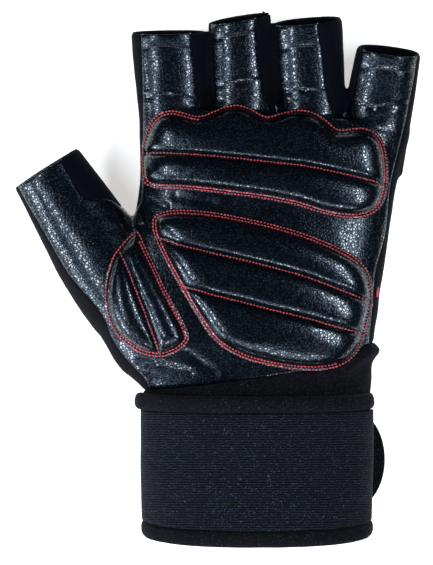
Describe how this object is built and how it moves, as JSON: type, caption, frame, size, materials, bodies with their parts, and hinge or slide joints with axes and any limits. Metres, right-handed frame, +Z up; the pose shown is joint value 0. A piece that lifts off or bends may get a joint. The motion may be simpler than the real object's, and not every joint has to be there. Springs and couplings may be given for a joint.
{
  "type": "weightlifting glove",
  "caption": "Fingerless left-hand weightlifting glove with quilted leather palm pads and an elastic wrist wrap, lying palm up and open for a hand.",
  "frame": {"origin": "centre of the bounding box, on the surface that the glove lies on", "axes": "+X across the palm to the little finger, +Y along the fingers, +Z up out of the palm"},
  "size_m": [0.1626, 0.2146, 0.0421],
  "materials": {
    "palm_leather": "grained, satin",
    "pad_leather": "grained, satin, quilted",
    "back_cloth": "matt knit",
    "side_cloth": "matt knit",
    "elastic": "ribbed elastic webbing",
    "plush": "matt brushed cloth"
  },
  "bodies": {
    "root": {"palm_leather": "palm_leather", "hand_back": "back_cloth", "fourchette_index_middle": "side_cloth", "fourchette_middle_ring": "side_cloth", "fourchette_ring_little": "side_cloth", "thumb_gusset": "side_cloth", "upper_pad": "pad_leather", "heel_pad": "pad_leather", "thumb_pad": "pad_leather", "cuff": "plush", "wrist_band": "elastic", "band_top_binding": "plush", "band_bottom_binding": "plush", "closure_tab": "plush"}
  },
  "joints": []
}
